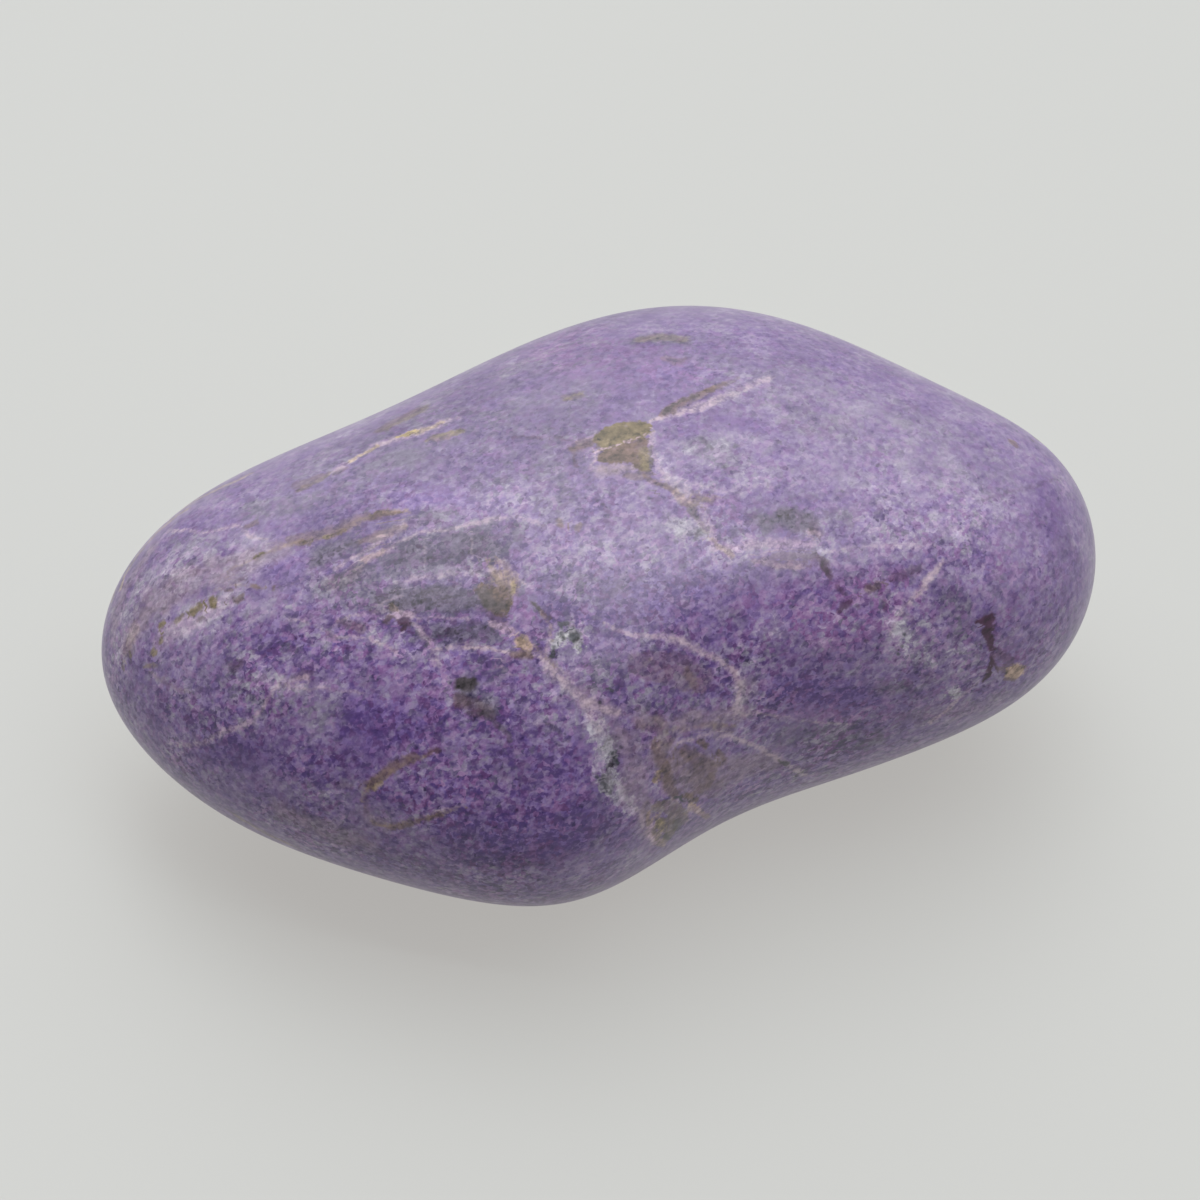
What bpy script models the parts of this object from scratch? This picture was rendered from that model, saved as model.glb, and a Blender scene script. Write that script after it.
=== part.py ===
"""A tumbled stichtite stone, lying on the small flat worn on its underside.

The stone is one solid. It starts as a cube whose faces are divided evenly and drawn onto a
ball. Each point of the ball is then carried out to the stone's own girth at that place along
its length, and subdivision rounds the result. The flat underneath is the part of the girth
that falls below the surface the stone rests on, pressed up onto it.

Metres, +Z up. +X runs along the stone to its blunt end, -Y is its long sloping face, and the
origin is on the resting surface, under the middle of the stone's box.
"""

import math

import bmesh
import bpy
import numpy as np
from mathutils import Vector

MM = 0.001

# Driving dimensions.
LENGTH = 33.9 * MM
REST_DROP = 0.65 * MM  # how far the belly would reach below the resting surface if it were round
FACE_CELLS = 12  # cells along each side of the cube that the ball is made from
ROUNDING_LEVELS = 1
ROUNDING_SHRINK = 1.003  # subdivision draws a cage of this fineness in by about this much
TIP_TAPER = 1e-9  # below this a point is one of the two tips, which no section goes round

# The stone's girth at stations along its length, in millimetres. place is -1 at the low, left
# end and +1 at the blunt right one. mid_y and mid_z are the centre of the section; front, back,
# up and down are its reach from there, before the taper of a rounded end is applied. shoulder
# is how square its upper front quarter is: 2 is an ellipse, and more is boxier.
STATION_COLUMNS = ("place", "mid_y", "mid_z", "front", "back", "up", "down", "shoulder")
STATIONS = (
    (-1.00, -1.6, 7.1, 8.1, 9.3, 8.2, 7.8, 1.8),
    (-0.75, -1.6, 7.2, 9.0, 8.9, 7.6, 7.3, 1.8),
    (-0.45, -1.3, 7.3, 9.6, 8.9, 7.4, 7.4, 1.7),
    (-0.20, -0.5, 7.5, 10.8, 9.8, 7.5, 8.0, 1.65),
    (0.00, 0.3, 7.6, 10.9, 10.4, 7.7, 8.3, 1.75),
    (0.20, 1.5, 7.7, 9.5, 9.8, 7.7, 8.2, 2.1),
    (0.45, 1.7, 7.7, 8.4, 9.3, 7.7, 7.9, 2.5),
    (0.75, 1.5, 7.8, 8.3, 8.6, 7.9, 7.8, 2.5),
    (1.00, 1.9, 7.9, 9.8, 9.6, 9.0, 8.9, 2.3),
)

# The same squareness for the other quarters, which hold it all along.
UPPER_BACK = 2.25
LOWER_FRONT = 2.1
LOWER_BACK = 2.2

# Shallow places that the tumbling left: the way each one faces on the ball, the share of the
# reach that it takes away, or adds where it is below zero, and how wide it is in radians.
WORN_PLACES = (
    ("hollow low at the back", (-0.25, 0.75, -0.45), 0.040, 0.34),
    ("swell at the back right", (0.62, 0.72, 0.05), -0.022, 0.30),
    ("hollow under the blunt end", (0.80, -0.05, -0.60), 0.035, 0.32),
    ("swell under the low end", (-0.72, -0.30, -0.60), -0.020, 0.30),
    ("hollow on top of the blunt end", (0.72, -0.05, 0.70), 0.012, 0.28),
)

STICHTITE_PURPLE = (0.19, 0.12, 0.28, 1.0)
POLISH_ROUGHNESS = 0.3


def clear_scene():
    for obj in list(bpy.data.objects):
        bpy.data.objects.remove(obj)


def spline_value(place, column):
    """The natural cubic spline through one column of the stations."""
    xs = np.array([station[0] for station in STATIONS])
    ys = np.array([station[column] for station in STATIONS])
    gaps = np.diff(xs)
    slopes = np.diff(ys) / gaps
    count = len(xs)
    matrix = np.eye(count)
    right = np.zeros(count)
    for i in range(1, count - 1):
        matrix[i, i - 1 : i + 2] = (gaps[i - 1], 2 * (gaps[i - 1] + gaps[i]), gaps[i])
        right[i] = 6 * (slopes[i] - slopes[i - 1])
    bends = np.linalg.solve(matrix, right)
    i = min(int(np.searchsorted(xs, place, side="right")) - 1, count - 2)
    ahead, behind, gap = xs[i + 1] - place, place - xs[i], gaps[i]
    curved = (bends[i] * ahead**3 + bends[i + 1] * behind**3) / (6 * gap)
    from_start = (ys[i] / gap - bends[i] * gap / 6) * ahead
    from_end = (ys[i + 1] / gap - bends[i + 1] * gap / 6) * behind
    return float(curved + from_start + from_end)


def station_at(place):
    """The section's shape at this place along the stone, its lengths in metres."""
    values = {}
    for column, name in enumerate(STATION_COLUMNS[1:], start=1):
        unit = 1 if name == "shoulder" else MM
        values[name] = spline_value(place, column) * unit
    return values


def squareness(across, upward, shoulder):
    if upward >= 0:
        return shoulder if across < 0 else UPPER_BACK
    return LOWER_FRONT if across < 0 else LOWER_BACK


def wear(direction):
    """The share of its reach that the surface keeps, facing this way from inside the ball."""
    kept = 1.0
    for _, facing, taken, width in WORN_PLACES:
        turn = direction.angle(Vector(facing))
        kept -= taken * math.exp(-((turn / width) ** 2))
    return kept


def stone_point(direction):
    """Carries a point of the unit ball out to the stone's surface."""
    place = max(-1.0, min(1.0, direction.x))
    section = station_at(place)
    x = place * LENGTH / 2 * ROUNDING_SHRINK
    taper = math.hypot(direction.y, direction.z)
    if taper < TIP_TAPER:
        return (x, section["mid_y"], section["mid_z"])
    across, upward = direction.y / taper, direction.z / taper
    power = squareness(across, upward, section["shoulder"])
    boxed = (abs(across) ** power + abs(upward) ** power) ** (-1 / power)
    reach_y = section["front"] if across < 0 else section["back"]
    reach_z = section["up"] if upward >= 0 else section["down"]
    girth = taper * boxed * wear(direction) * ROUNDING_SHRINK
    y = section["mid_y"] + girth * across * reach_y
    z = section["mid_z"] + girth * upward * reach_z
    return (x, y, z)


def ball_cage():
    """A cube of even cells, drawn onto the unit ball so that its cells keep like angles."""
    cage = bmesh.new()
    bmesh.ops.create_cube(cage, size=2.0)
    bmesh.ops.subdivide_edges(cage, edges=cage.edges[:], cuts=FACE_CELLS - 1, use_grid_fill=True)
    for vert in cage.verts:
        for axis in range(3):
            vert.co[axis] = math.tan(vert.co[axis] * math.pi / 4)
        vert.co.normalize()
    return cage


def stone_material():
    material = bpy.data.materials.new("stichtite")
    material.use_nodes = True
    shader = material.node_tree.nodes["Principled BSDF"]
    shader.inputs["Base Color"].default_value = STICHTITE_PURPLE
    shader.inputs["Roughness"].default_value = POLISH_ROUGHNESS
    shader.inputs["Metallic"].default_value = 0.0
    return material


def build_stone(collection):
    cage = ball_cage()
    for vert in cage.verts:
        vert.co = stone_point(vert.co)
    for vert in cage.verts:
        vert.co.z = max(0.0, vert.co.z - REST_DROP)
    mesh = bpy.data.meshes.new("stone")
    cage.to_mesh(mesh)
    cage.free()
    mesh.shade_smooth()
    mesh.materials.append(stone_material())
    stone = bpy.data.objects.new("stone", mesh)
    collection.objects.link(stone)
    rounding = stone.modifiers.new("rounding", "SUBSURF")
    rounding.levels = ROUNDING_LEVELS
    rounding.render_levels = ROUNDING_LEVELS
    return stone


def main():
    clear_scene()
    collection = bpy.data.collections.new("stichtite_tumbled_stone")
    bpy.context.scene.collection.children.link(collection)
    build_stone(collection)


main()
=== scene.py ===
"""The looks of a tumbled stichtite stone: skin, grain, markings, floor, light and camera."""

import math
import random

import bmesh
import bpy
import numpy as np
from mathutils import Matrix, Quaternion, Vector, kdtree
from mathutils.bvhtree import BVHTree


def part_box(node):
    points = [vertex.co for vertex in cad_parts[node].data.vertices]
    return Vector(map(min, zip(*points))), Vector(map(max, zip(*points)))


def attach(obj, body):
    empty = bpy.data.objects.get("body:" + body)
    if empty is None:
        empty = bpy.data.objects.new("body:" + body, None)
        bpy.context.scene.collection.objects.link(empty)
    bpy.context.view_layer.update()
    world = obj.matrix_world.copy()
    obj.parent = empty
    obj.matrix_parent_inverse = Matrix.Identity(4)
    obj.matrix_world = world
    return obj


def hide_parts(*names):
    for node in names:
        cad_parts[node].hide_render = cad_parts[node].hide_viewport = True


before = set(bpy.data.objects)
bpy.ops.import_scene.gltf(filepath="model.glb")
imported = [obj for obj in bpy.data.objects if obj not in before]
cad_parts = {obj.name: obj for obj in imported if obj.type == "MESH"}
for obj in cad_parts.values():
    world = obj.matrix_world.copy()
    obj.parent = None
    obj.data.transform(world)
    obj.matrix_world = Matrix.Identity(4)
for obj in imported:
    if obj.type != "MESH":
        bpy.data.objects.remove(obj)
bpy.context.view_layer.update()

MM = 0.001

# The camera's place, worked out from the photo. Its frame is square, and a point of the photo
# is given in pixels from the top left of that frame.
PHOTO_SIDE = 1200
FRAME_WIDTH = 40.8 * MM
PIXEL = FRAME_WIDTH / PHOTO_SIDE
CAMERA_ELEVATION = math.radians(50)
CAMERA_DISTANCE = 270 * MM
CAMERA_AIM = Vector((0, 0.36 * MM, 6.8 * MM))
SENSOR = 36.0

# The skin is a ball of even cells drawn onto the CAD solid. Its middle is moved towards the
# camera, which makes the cells there finer.
SKIN_CELLS = 128
SKIN_LEAN = 0.34

# In millimetres: how far off a patch and a stroke are known, how far outside its edge a stroke
# may show, and how much wider than its vein a halo is.
REACH = 1.6
STROKE_REACH = 0.75
STROKE_GATE = 0.22
HALO = 0.06
FAR_OFF = 9.0  # what a corner knows of a stroke when none is near

# Patches whose widest half width, in pixels, is below the first are kept as fine strokes, and
# those below the second lie over the rest.
FINE = 8.3
TINY = 3.1
NEVER_FINE = ("grey", "pinkgrey", "pale_green", "milk", "halo")

# The families that only lighten, darken or tint the plain stone, in the threes that they are
# kept in, and how soft the edge of each one is in millimetres. The first family is partly paler
# stone and partly painted light: highlight bands and sheen. The third is partly darker stone and
# partly painted shade.
TONE_LAYERS = (("bloom", "deep", "dim"), ("magenta", "iris", "slate"))
SOFTNESS = {"bloom": 0.4, "deep": 0.4, "dim": 0.7, "magenta": 0.4, "iris": 0.4, "slate": 0.25}

TO_CAMERA = Vector((0, -math.cos(CAMERA_ELEVATION), math.sin(CAMERA_ELEVATION)))
IMAGE_UP = Vector((0, math.sin(CAMERA_ELEVATION), math.cos(CAMERA_ELEVATION)))
EYE = CAMERA_AIM + TO_CAMERA * CAMERA_DISTANCE

# Thin veins, one to a line: family, strength, and the points it runs through, each as photo x,
# photo y and half its width in pixels.
# faint light streaks in the grey patch; the first is a painted highlight band running across it
# painted highlight band, drawn as a faint pale vein
VEINS = """
# beside the olive inclusion, up to the right
pale 0.85: 651,422,2 664,416,3 684,411,3.5 702,406,4 721,398,4.5
pale 0.6: 721,398,4.5 742,389,4 757,383,3 774,376,2
pale 0.9: 586,457,1 598,451,1.1 610,447,1.1 622,443,0.9 634,439,0.9
pale 0.9: 634,439,0.9 642,436,1 650,432,1.4
pale 0.6: 595,434,1 592,446,1.3 593,458,1.3 590,469,1
pale 0.5: 651,432,2.5 652,446,2.5 655,462,2.5 664,474,2.5 676,486,3
pale 0.4: 676,486,3 692,496,3 702,508,3 711,530,2.5 718,545,2
pale 0.2: 664,474,2 690,482,2 716,492,3 740,490,3 770,484,2
tan 0.5: 660,484,2 676,492,2.5 690,494,2.5 700,500,2 720,497,2
# the junction below the golden patch
pale 1: 434,648,1.8 458,647,1.8 480,648,1.8 498,651,1.6 527,654,1.8
pale 0.85: 527,654,1.3 541,656,2.2 549,666,4.5 558,676,5.5 569,686,5
pale 0.75: 569,686,5 576,695,4 586,702,4 600,707,4.5 616,712,4
pale 0.6: 580,700,2 588,712,2.5 593,722,3 598,732,4
pale 0.5: 480,648,1 466,643,1 452,645,1
pale 0.6: 544,657,2 548,646,2 551,634,1.5 548,622,1.2
tan 0.9: 552,638,1.2 550,626,1.6 546,616,1.5 540,609,1.3 533,604,1
tan 0.6: 535,648,1.5 542,652,2.5 548,659,3 556,669,2
# round the brownish-purple patch
pale 0.7: 606,624,1.2 614,628,1.6 632,635,1.6 650,636,2 667,637,3
pale 0.75: 667,637,3 678,640,3.5 690,646,3.5 705,654,3 722,661,2.5
pale 0.8: 722,661,2.5 732,669,3 739,681,3.5 740,694,4 735,708,3.5
pale 0.6: 735,708,3.5 742,714,2 756,713,1.5 776,716,1.3
pale 0.4: 776,716,1.3 800,720,1.2 825,723,1.2 856,725,1.2
pale 0.7: 680,742,1.5 694,738,2 709,735,2.2 732,737,2.2 755,746,2
pale 0.75: 755,746,2 768,753,2 780,760,2.2 792,767,2.4 806,775,3
tan 0.4: 668,731,2 690,727,3 712,725,3 734,727,2
pale 0.55: 636,808,1.5 642,820,2 647,832,2 654,844,2
# left of the golden patch
pale 0.5: 288,620,1 304,621,1.3 320,628,1.3 338,636,1.3 354,638,1.2
pale 0.7: 338,636,1.2 354,637,1 370,639,1.2 386,645,1.4 397,651,1.5
pale 0.55: 340,618,1.3 357,615,1.2 376,612,1.2 392,610,2 402,613,2
pale 0.5: 402,613,2 414,617,1.5 430,617,1.2 446,618,1 468,619,1
pale 0.55: 412,622,2 420,632,2.5 428,642,2.5 433,652,2.5 437,664,2.5
pale 0.35: 366,614,1.2 384,602,1.2 400,596,1.2
# lower left
pale 0.6: 166,744,1 186,744,1.4 204,744,1.8 214,737,2 222,731,2
pale 0.5: 190,748,1 204,742,1.4 218,737,1.4 232,730,1.4
pale 0.6: 222,731,2 238,727,1.8 252,723,2.4 260,712,1.8 267,702,2
pale 0.7: 267,702,2 274,690,2.2 282,682,2.6 294,679,2.6 306,677,2
pale 0.55: 280,686,1.6 294,689,1.6 312,690,1.6 336,689,1.3 362,692,1.1
tan 0.35: 150,673,1.5 162,680,1.5 176,689,1.8 190,693,1.5
tan 0.4: 262,708,1 272,694,1.2 284,685,1.4 300,678,1.2
# upper left
pale 0.6: 168,532,1.2 184,530,1.3 204,533,1.5 222,529,1.6 236,525,1.5
pale 0.7: 236,525,1.5 243,530,1.9 249,535,2 256,538,1.5 270,538,1
pale 0.65: 336,569,1.5 348,560,2 360,554,2.2 372,547,2.2 384,541,2
pale 0.5: 352,571,1.4 368,562,1.8 384,553,2 396,543,2 412,535,1.6
pale 0.6: 412,535,1.6 430,531,1.6 452,529,1.6 474,524,2 496,519,2.4
pale 0.45: 496,519,2.4 514,516,2.4 530,520,2 544,526,1.5
tan 0.5: 228,571,1.2 242,564,1.6 256,559,1.8 268,552,2 281,546,2.2
tan 0.7: 281,546,2.2 292,544,3 303,542,3 316,539,3 328,537,3
tan 0.65: 328,537,3 338,532,3.5 350,526,3 362,520,2.5 376,515,2.5
tan 0.7: 376,515,2.5 388,511,2 400,510,1.8 410,512,1.2
tan 0.45: 214,590,1.5 226,587,1.6 238,584,1.6 250,586,1.8 262,588,1.3
pale 0.35: 372,538,1.5 392,528,1.5 414,516,1.2
# top left edge
pale 0.6: 330,474,2 344,465,2.5 358,457,2.8 370,449,3 380,444,3.5
pale 0.75: 380,444,3.5 392,440,4 404,436,4 418,432,4 432,427,4
pale 0.5: 432,427,4 446,421,4 458,418,2.5
# faint light streaks in the grey patch
pale 0.4: 394,582,2 420,578,2.5 446,575,2.5 472,573,2.5 492,571,2.5
pale 0.3: 470,540,1 472,552,1.2 470,562,1
pale 0.25: 424,546,1 426,556,1 424,566,1
tan 0.75: 486,560,1.2 492,570,1.8 500,580,2 506,592,2
tan 0.65: 495,558,1.2 504,568,1.8 511,578,2 515,588,1.6
pale 0.5: 506,560,1 514,570,1.3 520,578,1.3 524,584,1
pale 0.35: 498,562,1 508,574,1.2 514,584,1
# front of the lobe
tan 0.7: 438,750,1.5 424,756,2.2 412,760,2.8 400,766,3 390,771,3
tan 0.75: 390,771,3 380,777,3.2 372,783,3.2 366,790,2.6 362,800,1.8
tan 0.9: 465,808,0.9 456,809,1.3 446,811,1.7 436,814,1.9 424,817,1.9
tan 0.8: 424,817,1.9 412,821,2 398,824,1.9 385,825,2 374,822,2
pale 0.7: 462,806,0.8 450,808,1 440,811,1 428,814,1
pale 0.5: 384,822,1.6 376,819,2 371,816,1.6
pale 0.35: 449,676,1 451,688,1.2 452,700,1
pale 0.35: 496,666,1 504,668,1 512,674,1
# right end
pale 0.85: 942,562,2 934,573,2.6 925,584,3 916,595,3 907,604,2.5
pale 0.4: 907,604,2.4 900,612,2.4 896,622,2.5 890,632,2
pale 1: 930,723,1.5 938,717,1.8 946,711,1.8 953,704,2 959,699,2
pale 0.4: 959,699,1.6 966,692,2 976,684,1.6 990,676,1
pale 0.3: 826,552,2 850,548,2 880,546,2 910,546,2 936,545,1.5
crack 0.6: 972,503,1 992,497,1.4 1014,491,1.5 1036,486,1.5 1060,478,1.2
crack 0.7: 330,562,1 340,559,1.6 352,556,1.8 364,552,1.4 372,549,1
crack 0.5: 286,586,1 302,579,1.4 320,571,1.4 340,566,1.2
crack 0.6: 778,702,1 788,696,1.5 800,689,1.2
crack 0.5: 826,692,1 842,688,1.5 856,688,1
"""
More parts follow.
